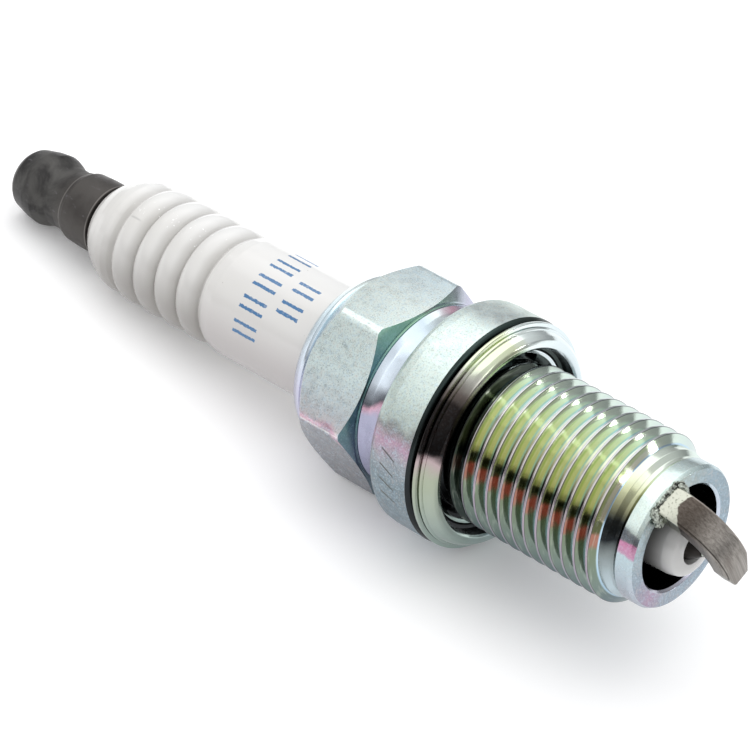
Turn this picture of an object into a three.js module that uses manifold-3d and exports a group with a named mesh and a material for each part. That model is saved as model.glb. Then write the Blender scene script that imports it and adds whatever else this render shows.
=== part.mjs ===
// A one-piece long-reach spark plug, built as the loose pieces it is assembled from.
//
// Units are millimetres. +X runs along the plug's axis towards the firing end and +Z is up.
// The origin is on the axis, in the plane of the shell's sealing seat, so everything behind the
// seat (hexagon, insulator, terminal) has a negative x and the threaded reach a positive one.

import * as THREE from 'three';
import { mergeVertices } from 'three/addons/utils/BufferGeometryUtils.js';
import Module from 'manifold-3d';

const wasm = await Module();
wasm.setup();

// ---- Driving dimensions ------------------------------------------------------------------------

const SEAT_TO_TOP = 53;        // seat plane to the end of the terminal
const REACH = 19;              // seat plane to the shell's end face
const HEX_ACROSS_FLATS = 16;
const THREAD_MAJOR_R = 6.95;
const THREAD_PITCH = 1.25;
const THREAD_DEPTH = 0.77;
const FLANGE_R = 9.75;
const TERMINAL_HEAD_R = 3.2;
const INSULATOR_R = 5.15;      // the smooth barrel that the coil boot grips
const ELECTRODE_GAP = 1.1;
const STRAP_WIDTH = 2.62;
const STRAP_THICKNESS = 1.35;
const STRAP_ANGLE = 116.5;     // where the ground strap stands, in degrees from +Y towards +Z

// ---- Working dimensions ------------------------------------------------------------------------

const SEGMENTS = 32;           // facets round the outer pieces
const FINE_SEGMENTS = 16;      // facets round the small inner pieces
const FIT = 0.06;              // clearance between pieces that sit in one another
const MERGE_DISTANCE = 1e-5;   // corners closer than this are one corner
const CUT_MARGIN = 1;          // by which a cutting form stands past what it cuts
const WELD_GAP = 0.03;         // left under the strap's foot, where the real joint is fused

// Shell, from the crimped rim at the back to the end face
const RIM_BACK_X = -15.9;
const RIM_LIP_R = 5.4;
const RIM_R = 7.3;
const RIM_FRONT_X = -14.3;
const HEX_CORNER_CAP_R = 9.09; // the forged corners are slightly rounded off
const HEX_BACK_CORNER_X = -12.15;
const HEX_FRONT_CORNER_X = -8.05;
const HEX_FRONT_FACE_X = -7.35;
const HEX_FRONT_FACE_R = 7.95;
const WAIST_R = 7.5;
const FLANGE_BACK_X = -4.3;
const FLANGE_BACK_R = 9.4;
const FLANGE_BEVEL = 0.45;
const UNDERCUT_R = 6.05;       // the plain neck that the gasket rides on
const THREAD_START_X = 0.95;
const THREAD_END_X = 16.7;
const THREAD_RIDGE_X = 1.091;  // where the helical ridge rises, on the +Y side
const THREAD_TURNS = 12.05;
const THREAD_FADE_TURNS = 0.34;  // over which the ridge rises and sinks at its ends
const THREAD_SUNK = 0.25;      // how far the ridge reaches into the root cylinder
const GROOVE_X = 17.2;
const GROOVE_R = 5.8;
const NOSE_BAND_R = 6;         // the plain band between the groove and the end face
const END_FACE_R = 5.85;
const END_BORE_R = 4.43;
const CAVITY_R = 6.15;         // room for the insulator's shoulder, behind the seat
const REACH_BORE_R = 4.8;
const LEDGE_R = 3.8;           // the inner ledge that carries the insulator
const LEDGE_BACK_X = 4.6;      // its back is a 45 degree cone
const LEDGE_FRONT_X = 5.6;

// Insulator
const INSULATOR_TOP_X = -42.55;
const NOTCH_COUNT = 5;
const RIB_PITCH = 2.53;
const FIRST_NOTCH_X = -38.25;
const RIB_CREST_R = 5.1;
const RIB_DEPTH = 0.62;
const SHOULDER_R = 5.95;
const SHOULDER_BACK_X = -9.5;
const SHOULDER_FRONT_X = -4.6;
const STEM_R = 4.65;
const SEAT_CONE_X = 3.3;
const NOSE_ROOT_R = 3.5;
const NOSE_R = 2.85;
const NOSE_END_X = 20.45;
const NOSE_MOUTH_R = 1.46;     // the bore opens slightly round the electrode at the very end
const BORE_R = 1.95;
const BORE_STEP_X = -3.4;
const NOSE_BORE_R = 1.32;

// Packing between the shell and the insulator's shoulder
const PACKING_CLEARANCE = 0.08;
const UPPER_PACKING_X = -14.1;
const LOWER_PACKING_X = -10.8;
const WASHER_CONE_CLEARANCE = 0.1;
const WASHER_LEDGE_CLEARANCE = 0.08;

// Conductors inside the insulator, from the terminal forwards
const STUD_END_X = -24.5;
const STUD_SHANK_R = 1.65;
const RESISTOR_BACK_X = -21.6;
const RESISTOR_FRONT_X = -9.2;
const ELECTRODE_HEAD_X = -5.2;
const ELECTRODE_R = 1.25;
const ELECTRODE_CONE_X = 20.15;
const ELECTRODE_END_X = 21.2;
const CORE_R = 0.62;
const CORE_END_X = 16;
const TIP_R = 0.3;
const TIP_END_X = 21.95;
const TIP_WELD_LENGTH = 0.12;
const TIP_WELD_R = 0.47;

// Ground strap, with n measured outwards from the axis along STRAP_ANGLE
const STRAP_FOOT_N = 5.8;
const STRAP_BEND_R = 5.3;      // outer radius of the bend
const STRAP_TIP_N = -1.05;
const STRAP_TAPER_N = 0.7;     // where the tip starts to narrow
const STRAP_TIP_WIDTH = 1.6;
const STRAP_CURVE_SEGMENTS = 12;
const PAD_R = 0.5;
const PAD_THICKNESS = 0.15;
const WELD_LUMP_R = 0.42;
const WELD_LUMP_HALF_LENGTH = 0.62;
const WELD_LUMP_OFFSET = 0.5;  // from the strap's side to the middle of the lump

// Gasket: a ring of folded sheet, shown resting loose and a little off the seat
const GASKET_BACK_X = 0.3;
const GASKET_THICKNESS = 1.6;
const GASKET_SHEET = 0.34;
const GASKET_LIP_R = 7.1;      // the back leaf reaches in past the bead
const GASKET_INNER_R = 7.88;
const GASKET_OUTER_R = 9.7;
const GASKET_FACE_INNER_R = 8.1;
const GASKET_FACE_OUTER_R = 8.5; // the flat crest that meets the cylinder head
const CLAW_COUNT = 4;
const CLAW_INNER_R = 6.5;
const CLAW_HALF_WIDTH = 1.1;
const CLAW_SHEET = 0.28;

// Derived
const X_AXIS = new THREE.Vector3(1, 0, 0);
const Y_AXIS = new THREE.Vector3(0, 1, 0);
const Z_AXIS = new THREE.Vector3(0, 0, 1);
const HEX_CORNER_R = HEX_ACROSS_FLATS / Math.sqrt(3);
const STRAP_INNER_X = TIP_END_X + ELECTRODE_GAP + PAD_THICKNESS;
const STRAP_OUTER_X = STRAP_INNER_X + STRAP_THICKNESS;
const THREAD_ROOT_R = THREAD_MAJOR_R - THREAD_DEPTH;
const LEDGE_CONE_X = LEDGE_BACK_X - (REACH_BORE_R - LEDGE_R);
const PACKING_INNER_R = INSULATOR_R + PACKING_CLEARANCE;
const PACKING_OUTER_R = CAVITY_R - PACKING_CLEARANCE;
const PACKING_R = (PACKING_INNER_R + PACKING_OUTER_R) / 2;
const PACKING_WIRE_R = (PACKING_OUTER_R - PACKING_INNER_R) / 2;

// ---- Materials ---------------------------------------------------------------------------------

function paint(color, metalness, roughness) {
  return new THREE.MeshStandardMaterial({ color, metalness, roughness });
}

const MATERIALS = {
  oxidisedSteel: () => paint(0x4b4846, 0.9, 0.6),
  glazedCeramic: () => paint(0xf2f2ee, 0, 0.15),
  sealGlass: () => paint(0x3a3634, 0.3, 0.4),
  resistorGlass: () => paint(0x4d4f52, 0.1, 0.5),
  nickel: () => paint(0x8f8983, 0.95, 0.35),
  copper: () => paint(0xb8734a, 1, 0.35),
  iridium: () => paint(0xc9c9cc, 1, 0.3),
  weldMetal: () => paint(0x7d7f7c, 0.9, 0.5),
  platedSteel: () => paint(0xc9d2cc, 0.95, 0.28),
  packingSteel: () => paint(0x8c8c8c, 0.9, 0.4),
  talc: () => paint(0xd8d4c8, 0, 0.9),
  gasketSteel: () => paint(0xb9bbae, 0.95, 0.25),
};

// ---- Outlines ----------------------------------------------------------------------------------

/** Points along a circular arc, as [x, r] pairs, with angles in degrees from +x towards +r. */
function arc(centreX, centreR, radius, fromDegrees, toDegrees, steps) {
  const points = [];
  for (let i = 0; i <= steps; i += 1) {
    const angle = THREE.MathUtils.degToRad(fromDegrees + ((toDegrees - fromDegrees) * i) / steps);
    points.push([centreX + radius * Math.cos(angle), centreR + radius * Math.sin(angle)]);
  }
  return points;
}

/** A plain tube or disc between two x stations. */
function tubeOutline(fromX, toX, innerR, outerR) {
  return [[fromX, innerR], [fromX, outerR], [toX, outerR], [toX, innerR], [fromX, innerR]];
}

// ---- Solids ------------------------------------------------------------------------------------

/** Keeps positions only, merges shared corners and drops the triangles that this collapses. */
function weld(geometry) {
  const bare = new THREE.BufferGeometry();
  bare.setAttribute('position', geometry.getAttribute('position'));
  bare.setIndex(geometry.index);
  const merged = mergeVertices(bare, MERGE_DISTANCE);
  const index = merged.index.array;
  const kept = [];
  for (let i = 0; i < index.length; i += 3) {
    const triangle = index.slice(i, i + 3);
    if (new Set(triangle).size === 3) kept.push(...triangle);
  }
  merged.setIndex(kept);
  return merged;
}

/** Six times the volume that the triangles enclose; negative when they face inwards. */
function signedVolume(geometry) {
  const corner = [new THREE.Vector3(), new THREE.Vector3(), new THREE.Vector3()];
  const position = geometry.getAttribute('position');
  const index = geometry.index.array;
  let total = 0;
  for (let i = 0; i < index.length; i += 3) {
    corner.forEach((point, k) => point.fromBufferAttribute(position, index[i + k]));
    total += corner[0].dot(corner[1].cross(corner[2]));
  }
  return total;
}

/** A welded copy of a closed geometry with every face pointing out. */
function solid(geometry) {
  const closed = weld(geometry);
  if (signedVolume(closed) < 0) closed.setIndex(Array.from(closed.index.array).reverse());
  return closed;
}

/** Turns an outline of [x, r] pairs about the plug's axis. */
function revolve(outline, segments = SEGMENTS) {
  const points = outline.map(([x, r]) => new THREE.Vector2(r, x));
  return solid(new THREE.LatheGeometry(points, segments).rotateZ(-Math.PI / 2));
}

/** A prism along X, with one corner up unless it is turned. */
function prism(fromX, toX, radius, sides, turn = 0) {
  const length = toX - fromX;
  const geometry = new THREE.CylinderGeometry(radius, radius, length, sides, 1, false, turn);
  return solid(geometry.rotateZ(-Math.PI / 2).translate(fromX + length / 2, 0, 0));
}

function toManifold(geometry) {
  const vertProperties = Float32Array.from(geometry.getAttribute('position').array);
  const triVerts = Uint32Array.from(geometry.index.array);
  return new wasm.Manifold(new wasm.Mesh({ numProp: 3, vertProperties, triVerts }));
}

function fromManifold(manifold) {
  const mesh = manifold.getMesh();
  const positions = Float32Array.from(mesh.vertProperties);
  const geometry = new THREE.BufferGeometry();
  geometry.setAttribute('position', new THREE.BufferAttribute(positions, 3));
  geometry.setIndex(Array.from(mesh.triVerts));
  return geometry;
}

// ---- Terminal and insulator --------------------------------------------------------------------

/** The solid terminal: a barrel head, a waist, a skirt and the shank that the glass seal grips. */
function terminalStud() {
  const top = -SEAT_TO_TOP;
  const skirtFrontX = INSULATOR_TOP_X - FIT;
  return revolve([
    [top, 0],
    [top, 2.1],
    [top + 0.25, 2.52],
    [top + 1.2, 2.92],
    [top + 2.1, 3.13],
    [top + 2.95, TERMINAL_HEAD_R],
    [top + 3.5, TERMINAL_HEAD_R - 0.08],
    [top + 4.15, 2.86],
    [top + 4.8, 2.7],
    [top + 5.6, 2.7],
    [top + 6.2, 2.8],
    [top + 6.6, 2.98],
    [top + 7, 3.16],
    [skirtFrontX, 3.22],
    [skirtFrontX, STUD_SHANK_R],
    [STUD_END_X, STUD_SHANK_R],
    [STUD_END_X, 0],
  ]);
}

/** The ribbed stretch: rounded crests with narrower notches between them. */
function ribPoints() {
  const samplesPerRib = 6;
  const points = [];
  for (let i = 0; i <= (NOTCH_COUNT - 1) * samplesPerRib; i += 1) {
    const phase = i / samplesPerRib;
    const notch = (0.5 + 0.5 * Math.cos(2 * Math.PI * phase)) ** 1.5;
    points.push([FIRST_NOTCH_X + phase * RIB_PITCH, RIB_CREST_R - RIB_DEPTH * notch]);
  }
  return points;
}

function insulator() {
  const barrelStartX = FIRST_NOTCH_X + (NOTCH_COUNT - 1) * RIB_PITCH;
  return revolve([
    [INSULATOR_TOP_X, BORE_R],
    [INSULATOR_TOP_X, 3.2],
    [INSULATOR_TOP_X + 0.2, 3.5],
    [INSULATOR_TOP_X + 0.8, 4.02],
    [INSULATOR_TOP_X + 1.6, 4.42],
    [INSULATOR_TOP_X + 2.3, 4.78],
    [INSULATOR_TOP_X + 3, 4.94],
    [FIRST_NOTCH_X - 0.9, 4.84],
    ...ribPoints(),
    [barrelStartX + 0.6, 4.82],
    [barrelStartX + 1.4, INSULATOR_R],
    [SHOULDER_BACK_X - 0.8, INSULATOR_R],
    [SHOULDER_BACK_X, SHOULDER_R],
    [SHOULDER_FRONT_X, SHOULDER_R],
    [SHOULDER_FRONT_X + 1.4, STEM_R],
    [SEAT_CONE_X, STEM_R],
    [LEDGE_BACK_X - 0.2, NOSE_ROOT_R],
    [LEDGE_FRONT_X + 1, NOSE_ROOT_R - 0.08],
    [NOSE_END_X - 1.1, NOSE_R],
    [NOSE_END_X - 0.4, NOSE_R - 0.35],
    [NOSE_END_X, NOSE_R - 1],
    [NOSE_END_X, NOSE_MOUTH_R],
    [NOSE_END_X - 1, NOSE_MOUTH_R],
    [NOSE_END_X - 1.2, NOSE_BORE_R],
    [BORE_STEP_X, NOSE_BORE_R],
    [BORE_STEP_X, BORE_R],
    [INSULATOR_TOP_X, BORE_R],
  ]);
}

// ---- Conductor string --------------------------------------------------------------------------

/** A plug of fused glass or resistor mix that fills the bore between two x stations. */
function borePlug(fromX, toX) {
  return revolve([[fromX, 0], [fromX, BORE_R - FIT], [toX, BORE_R - FIT], [toX, 0]], FINE_SEGMENTS);
}

/** The nickel electrode: a head on the bore's step, a body, and a cone that leaves the nose. */
function centreElectrode() {
  const headR = BORE_R - FIT;
  const coreRoomR = CORE_R + FIT;
  return revolve([
    [ELECTRODE_HEAD_X, coreRoomR],
    [ELECTRODE_HEAD_X, headR],
    [BORE_STEP_X - FIT, headR],
    [BORE_STEP_X - FIT, ELECTRODE_R],
    [ELECTRODE_CONE_X, ELECTRODE_R],
    [ELECTRODE_END_X, TIP_R + 0.2],
    [ELECTRODE_END_X, 0],
    [CORE_END_X + FIT, 0],
    [CORE_END_X + FIT, coreRoomR],
    [ELECTRODE_HEAD_X, coreRoomR],
  ], FINE_SEGMENTS);
}

function centreElectrodeCore() {
  const backX = ELECTRODE_HEAD_X + FIT;
  return revolve([[backX, 0], [backX, CORE_R], [CORE_END_X, CORE_R], [CORE_END_X, 0]], FINE_SEGMENTS);
}

/** The weld collar that holds the fine wire on the electrode's cone. */
function tipWeld() {
  const backX = ELECTRODE_END_X + FIT;
  return revolve(tubeOutline(backX, backX + TIP_WELD_LENGTH, TIP_R + FIT / 2, TIP_WELD_R), FINE_SEGMENTS);
}

function iridiumTip() {
  const backX = ELECTRODE_END_X + FIT;
  return revolve([[backX, 0], [backX, TIP_R], [TIP_END_X, TIP_R], [TIP_END_X, 0]], FINE_SEGMENTS);
}

// ---- Shell -------------------------------------------------------------------------------------

/** The shell's outer form before the flats are cut, with the thread's root as a plain cylinder. */
function shellBody() {
  const coneBackX = HEX_BACK_CORNER_X - (HEX_CORNER_CAP_R - RIM_R);
  return revolve([
    [RIM_BACK_X + 0.4, RIM_LIP_R - 0.15],
    [RIM_BACK_X, RIM_LIP_R],
    [RIM_BACK_X + 0.6, 6.3],
    [RIM_BACK_X + 0.9, 6.75],
    [RIM_BACK_X + 1.25, 7.1],
    [RIM_FRONT_X, RIM_R],
    [coneBackX, RIM_R],
    [HEX_BACK_CORNER_X, HEX_CORNER_CAP_R],
    [HEX_FRONT_CORNER_X, HEX_CORNER_CAP_R],
    [HEX_FRONT_FACE_X, HEX_FRONT_FACE_R],
    [HEX_FRONT_FACE_X + 0.15, HEX_FRONT_FACE_R - 0.25],
    [HEX_FRONT_FACE_X + 0.8, WAIST_R],
    [FLANGE_BACK_X - 0.7, WAIST_R],
    [FLANGE_BACK_X, FLANGE_BACK_R],
    [-1.2, FLANGE_R],
    [-FLANGE_BEVEL, FLANGE_R],
    [0, FLANGE_R - FLANGE_BEVEL],
    [0, UNDERCUT_R + 0.3],
    [0.3, UNDERCUT_R],
    [THREAD_START_X - 0.3, UNDERCUT_R],
    [THREAD_START_X, THREAD_ROOT_R],
    [THREAD_END_X, THREAD_ROOT_R],
    [GROOVE_X - 0.15, GROOVE_R],
    [GROOVE_X + 0.25, GROOVE_R],
    [GROOVE_X + 0.45, NOSE_BAND_R],
    [REACH - 0.2, NOSE_BAND_R],
    [REACH, END_FACE_R],
    [REACH, END_BORE_R + 0.3],
    [REACH - 0.3, END_BORE_R],
    [LEDGE_FRONT_X, END_BORE_R],
    [LEDGE_FRONT_X, LEDGE_R],
    [LEDGE_BACK_X, LEDGE_R],
    [LEDGE_CONE_X, REACH_BORE_R],
    [SHOULDER_FRONT_X + 1.6, REACH_BORE_R],
    [SHOULDER_FRONT_X + 0.2, CAVITY_R],
    [RIM_BACK_X + 1.3, CAVITY_R],
    [RIM_BACK_X + 0.7, RIM_LIP_R],
    [RIM_BACK_X + 0.4, RIM_LIP_R - 0.15],
  ]);
}

/** Everything the wrench flats leave standing: a hexagonal bar behind, a round one in front. */
function wrenchEnvelope() {
  const bar = prism(RIM_BACK_X - CUT_MARGIN, HEX_FRONT_FACE_X, HEX_CORNER_R, 6, Math.PI / 6);
  const frontBackX = HEX_FRONT_FACE_X - FIT;
  const front = prism(frontBackX, REACH + CUT_MARGIN, FLANGE_R + CUT_MARGIN, SEGMENTS);
  return toManifold(bar).add(toManifold(front));
}

/** One closed helical ridge that stands on the thread's root cylinder and fades out at its ends. */
function threadRidge() {
  const crestHalf = THREAD_PITCH / 16;
  const rootHalf = THREAD_PITCH * 0.42;
  const rootR = THREAD_ROOT_R - THREAD_SUNK;
  const steps = Math.round(THREAD_TURNS * SEGMENTS);
  const fadeSteps = THREAD_FADE_TURNS * SEGMENTS;
  const positions = [];
  for (let i = 0; i <= steps; i += 1) {
    const turn = i / SEGMENTS;
    const angle = turn * 2 * Math.PI;
    const x = THREAD_RIDGE_X + turn * THREAD_PITCH;
    const fade = Math.min(1, (i + 1) / fadeSteps, (steps - i + 1) / fadeSteps);
    const crestR = THREAD_ROOT_R + THREAD_DEPTH * fade;
    const section = [
      [x - rootHalf, rootR],
      [x - crestHalf, crestR],
      [x + crestHalf, crestR],
      [x + rootHalf, rootR],
    ];
    section.forEach(([sx, sr]) => positions.push(sx, sr * Math.cos(angle), sr * Math.sin(angle)));
  }
  return solid(sweptSections(positions, 4));
}

/** Joins equal rings of points into a tube with flat ends. */
function sweptSections(positions, corners) {
  const count = positions.length / 3 / corners;
  const index = [];
  for (let i = 0; i < count - 1; i += 1) {
    for (let k = 0; k < corners; k += 1) {
      const a = i * corners + k;
      const b = i * corners + ((k + 1) % corners);
      index.push(a, b, b + corners, a, b + corners, a + corners);
    }
  }
  const last = (count - 1) * corners;
  for (let k = 1; k < corners - 1; k += 1) {
    index.push(0, k + 1, k, last, last + k, last + k + 1);
  }
  const geometry = new THREE.BufferGeometry();
  geometry.setAttribute('position', new THREE.Float32BufferAttribute(positions, 3));
  geometry.setIndex(index);
  return geometry;
}

function shell() {
  const flatted = toManifold(shellBody()).intersect(wrenchEnvelope());
  return fromManifold(flatted.add(toManifold(threadRidge())));
}

// ---- Packing between the shell and the insulator -----------------------------------------------

function packingRing(centreX) {
  return revolve(arc(centreX, PACKING_R, PACKING_WIRE_R, 0, 360, 8));
}

function talcPacking() {
  const backX = UPPER_PACKING_X + PACKING_WIRE_R + FIT;
  const frontX = LOWER_PACKING_X - PACKING_WIRE_R - FIT;
  return revolve(tubeOutline(backX, frontX, PACKING_INNER_R, PACKING_OUTER_R));
}

/** The conical washer between the insulator's cone and the shell's inner ledge. */
function seatPackingWasher() {
  const slope = (STEM_R - NOSE_ROOT_R) / (LEDGE_BACK_X - 0.2 - SEAT_CONE_X);
  const innerR = LEDGE_R + 0.05;
  const outerR = STEM_R - 0.1;
  const backX = (r) => SEAT_CONE_X + (STEM_R - r) / slope + WASHER_CONE_CLEARANCE;
  const frontX = (r) => LEDGE_BACK_X - (r - LEDGE_R) - WASHER_LEDGE_CLEARANCE;
  return revolve([
    [backX(innerR), innerR],
    [backX(outerR), outerR],
    [frontX(outerR), outerR],
    [frontX(innerR), innerR],
    [backX(innerR), innerR],
  ]);
}

// ---- Gasket ------------------------------------------------------------------------------------

/** The folded ring's section: a flat back leaf with an inner lip, a seam, and a forward bead. */
function gasketRing() {
  const backX = GASKET_BACK_X;
  const leafX = backX + GASKET_SHEET;
  const frontX = backX + GASKET_THICKNESS;
  const seamR = GASKET_OUTER_R - 1.2;
  return revolve([
    [backX, GASKET_LIP_R],
    [backX, GASKET_OUTER_R - 0.15],
    [backX + 0.15, GASKET_OUTER_R],
    [leafX, GASKET_OUTER_R - 0.05],
    [leafX, seamR],
    [leafX + 0.08, seamR],
    [leafX + 0.08, GASKET_OUTER_R - 0.5],
    [leafX + 0.4, GASKET_OUTER_R - 0.62],
    [leafX + 0.85, GASKET_OUTER_R - 0.85],
    [frontX - 0.1, GASKET_OUTER_R - 1.05],
    [frontX, GASKET_FACE_OUTER_R],
    [frontX, GASKET_FACE_INNER_R],
    [frontX - 0.2, GASKET_INNER_R + 0.05],
    [frontX - 0.55, GASKET_INNER_R],
    [leafX, GASKET_INNER_R],
    [leafX, GASKET_LIP_R],
    [backX, GASKET_LIP_R],
  ]);
}

/** A small inward dent of the back leaf; it keeps the ring from sliding off over the thread. */
function gasketClaw(angleDegrees) {
  const length = GASKET_INNER_R - CLAW_INNER_R;
  const claw = new THREE.BoxGeometry(CLAW_SHEET, length, 2 * CLAW_HALF_WIDTH);
  claw.translate(GASKET_BACK_X + GASKET_SHEET / 2, CLAW_INNER_R + length / 2, 0);
  claw.rotateX(THREE.MathUtils.degToRad(angleDegrees));
  return solid(claw);
}

function gasket() {
  let ring = toManifold(gasketRing());
  for (let i = 0; i < CLAW_COUNT; i += 1) {
    ring = ring.add(toManifold(gasketClaw((360 / CLAW_COUNT) * (i + 0.5))));
  }
  return fromManifold(ring);
}

// ---- Ground strap ------------------------------------------------------------------------------

/** The strap's side view in (n, x): up from the end face, round the bend, across the axis. */
function strapSideShape() {
  const footX = REACH + WELD_GAP;
  const bendN = STRAP_FOOT_N - STRAP_BEND_R;
  const bendX = STRAP_OUTER_X - STRAP_BEND_R;
  const shape = new THREE.Shape();
  shape.moveTo(STRAP_FOOT_N, footX);
  shape.lineTo(STRAP_FOOT_N, bendX);
  shape.absarc(bendN, bendX, STRAP_BEND_R, 0, Math.PI / 2, false);
  shape.lineTo(STRAP_TIP_N, STRAP_OUTER_X);
  shape.lineTo(STRAP_TIP_N, STRAP_INNER_X);
  shape.lineTo(bendN, STRAP_INNER_X);
  shape.absarc(bendN, bendX, STRAP_BEND_R - STRAP_THICKNESS, Math.PI / 2, 0, true);
  shape.lineTo(STRAP_FOOT_N - STRAP_THICKNESS, footX);
  shape.closePath();
  return shape;
}

/** The strap's plan in (n, width): parallel sides, narrowing towards the tip. */
function strapPlanShape() {
  const half = STRAP_WIDTH / 2;
  const tipHalf = STRAP_TIP_WIDTH / 2;
  const shape = new THREE.Shape();
  shape.moveTo(STRAP_FOOT_N + CUT_MARGIN, -half);
  shape.lineTo(STRAP_FOOT_N + CUT_MARGIN, half);
  shape.lineTo(STRAP_TAPER_N, half);
  shape.lineTo(STRAP_TIP_N, tipHalf);
  shape.lineTo(STRAP_TIP_N, -tipHalf);
  shape.lineTo(STRAP_TAPER_N, -half);
  shape.closePath();
  return shape;
}

/** Turns a piece drawn with n along +Y, x along +X and the width along +Z to where the strap is. */
function turnToStrap(geometry) {
  return geometry.rotateX(THREE.MathUtils.degToRad(STRAP_ANGLE));
}

function groundElectrode() {
  const width = STRAP_WIDTH + CUT_MARGIN;
  const side = new THREE.ExtrudeGeometry(strapSideShape(), {
    depth: width,
    bevelEnabled: false,
    curveSegments: STRAP_CURVE_SEGMENTS,
  });
  side.translate(0, 0, -width / 2);
  side.applyMatrix4(new THREE.Matrix4().makeBasis(Y_AXIS, X_AXIS, Z_AXIS));
  const height = STRAP_OUTER_X - REACH + 2 * CUT_MARGIN;
  const plan = new THREE.ExtrudeGeometry(strapPlanShape(), { depth: height, bevelEnabled: false });
  plan.applyMatrix4(new THREE.Matrix4().makeBasis(Y_AXIS, Z_AXIS, X_AXIS));
  plan.translate(REACH - CUT_MARGIN, 0, 0);
  const strap = toManifold(solid(side)).intersect(toManifold(solid(plan)));
  return turnToStrap(fromManifold(strap));
}

/** The precious-metal pad on the strap, facing the fine-wire tip across the gap. */
function groundElectrodePad() {
  const backX = STRAP_INNER_X - FIT;
  const frontX = backX - PAD_THICKNESS + FIT;
  return revolve([[frontX, 0], [frontX, PAD_R], [backX, PAD_R], [backX, 0]], FINE_SEGMENTS);
}

/** A lump of upset weld metal beside the strap's foot; side 1 faces -Y and side -1 faces +Y. */
function strapWeld(side) {
  const lump = new THREE.IcosahedronGeometry(1, 1);
  lump.scale(WELD_LUMP_R, WELD_LUMP_HALF_LENGTH, WELD_LUMP_R);
  const n = STRAP_FOOT_N - STRAP_THICKNESS / 2;
  const across = side * (STRAP_WIDTH / 2 + WELD_LUMP_OFFSET);
  lump.translate(REACH + WELD_LUMP_R + FIT, n, across);
  return turnToStrap(solid(lump));
}

// ---- Assembly ----------------------------------------------------------------------------------

const plug = new THREE.Group();

function addPiece(name, geometry, material) {
  geometry.computeVertexNormals();
  const mesh = new THREE.Mesh(geometry, material);
  mesh.name = name;
  plug.add(mesh);
}

const sealGlass = MATERIALS.sealGlass();

addPiece('terminal_stud', terminalStud(), MATERIALS.oxidisedSteel());
addPiece('insulator', insulator(), MATERIALS.glazedCeramic());
addPiece('upper_glass_seal', borePlug(STUD_END_X + FIT, RESISTOR_BACK_X - FIT), sealGlass);
addPiece('resistor_core', borePlug(RESISTOR_BACK_X, RESISTOR_FRONT_X), MATERIALS.resistorGlass());
addPiece('lower_glass_seal', borePlug(RESISTOR_FRONT_X + FIT, ELECTRODE_HEAD_X - FIT), sealGlass);
addPiece('centre_electrode', centreElectrode(), MATERIALS.nickel());
addPiece('centre_electrode_core', centreElectrodeCore(), MATERIALS.copper());
addPiece('iridium_tip', iridiumTip(), MATERIALS.iridium());
addPiece('tip_weld', tipWeld(), MATERIALS.weldMetal());
addPiece('shell', shell(), MATERIALS.platedSteel());
addPiece('upper_packing_ring', packingRing(UPPER_PACKING_X), MATERIALS.packingSteel());
addPiece('talc_packing', talcPacking(), MATERIALS.talc());
addPiece('lower_packing_ring', packingRing(LOWER_PACKING_X), MATERIALS.packingSteel());
addPiece('seat_packing_washer', seatPackingWasher(), MATERIALS.packingSteel());
addPiece('gasket', gasket(), MATERIALS.gasketSteel());
addPiece('ground_electrode', groundElectrode(), MATERIALS.nickel());
addPiece('ground_electrode_pad', groundElectrodePad(), MATERIALS.iridium());
addPiece('strap_weld_front', strapWeld(1), MATERIALS.weldMetal());
addPiece('strap_weld_rear', strapWeld(-1), MATERIALS.weldMetal());

export default plug;
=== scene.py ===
"""A spark plug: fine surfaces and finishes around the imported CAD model.

Lengths are in millimetres until a mesh is made, which scales them to metres. +X runs along the
plug's axis towards the firing end and x = 0 is the sealing seat. Angles about the axis are in
degrees from +Y towards +Z, so 90 is the top and about 135 is the side that the camera faces.
"""

import math
import random

import bmesh
import bpy
from mathutils import Matrix, Vector, noise


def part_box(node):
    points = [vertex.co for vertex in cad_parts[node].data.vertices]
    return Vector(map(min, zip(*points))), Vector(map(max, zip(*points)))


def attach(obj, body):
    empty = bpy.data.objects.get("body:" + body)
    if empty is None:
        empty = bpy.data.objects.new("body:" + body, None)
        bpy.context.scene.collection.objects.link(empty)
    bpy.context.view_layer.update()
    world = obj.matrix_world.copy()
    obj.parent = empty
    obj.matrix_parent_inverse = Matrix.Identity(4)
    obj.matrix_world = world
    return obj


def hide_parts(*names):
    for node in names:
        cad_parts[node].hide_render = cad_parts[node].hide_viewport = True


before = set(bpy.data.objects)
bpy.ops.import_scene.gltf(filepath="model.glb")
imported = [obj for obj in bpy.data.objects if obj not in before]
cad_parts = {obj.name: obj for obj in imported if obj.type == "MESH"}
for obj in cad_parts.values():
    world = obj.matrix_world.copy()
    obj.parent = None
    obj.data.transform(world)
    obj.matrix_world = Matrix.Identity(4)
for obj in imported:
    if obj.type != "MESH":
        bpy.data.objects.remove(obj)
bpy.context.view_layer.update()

MM = 0.001
SEGMENTS = 240
FILLET_STEPS = 4


def box_mm(node):
    """A CAD node's lowest and highest corners, in millimetres."""
    low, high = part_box(node)
    return low / MM, high / MM


# ---- Places taken from the frame ---------------------------------------------------------------

TERMINAL_TOP_X = box_mm("terminal_stud")[0].x
INSULATOR_TOP_X = box_mm("insulator")[0].x
NOSE_END_X = box_mm("insulator")[1].x
RIM_BACK_X = box_mm("shell")[0].x
REACH = box_mm("shell")[1].x
FLANGE_R = box_mm("shell")[1].z
GASKET_BACK_X = box_mm("gasket")[0].x
GASKET_FRONT_X = box_mm("gasket")[1].x
GASKET_OUTER_R = box_mm("gasket")[1].z
TIP_BACK_X = box_mm("iridium_tip")[0].x
TIP_END_X = box_mm("iridium_tip")[1].x
PAD_FACE_X = box_mm("ground_electrode_pad")[0].x
PAD_BACK_X = box_mm("ground_electrode_pad")[1].x
STRAP_OUTER_X = box_mm("ground_electrode")[1].x

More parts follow.
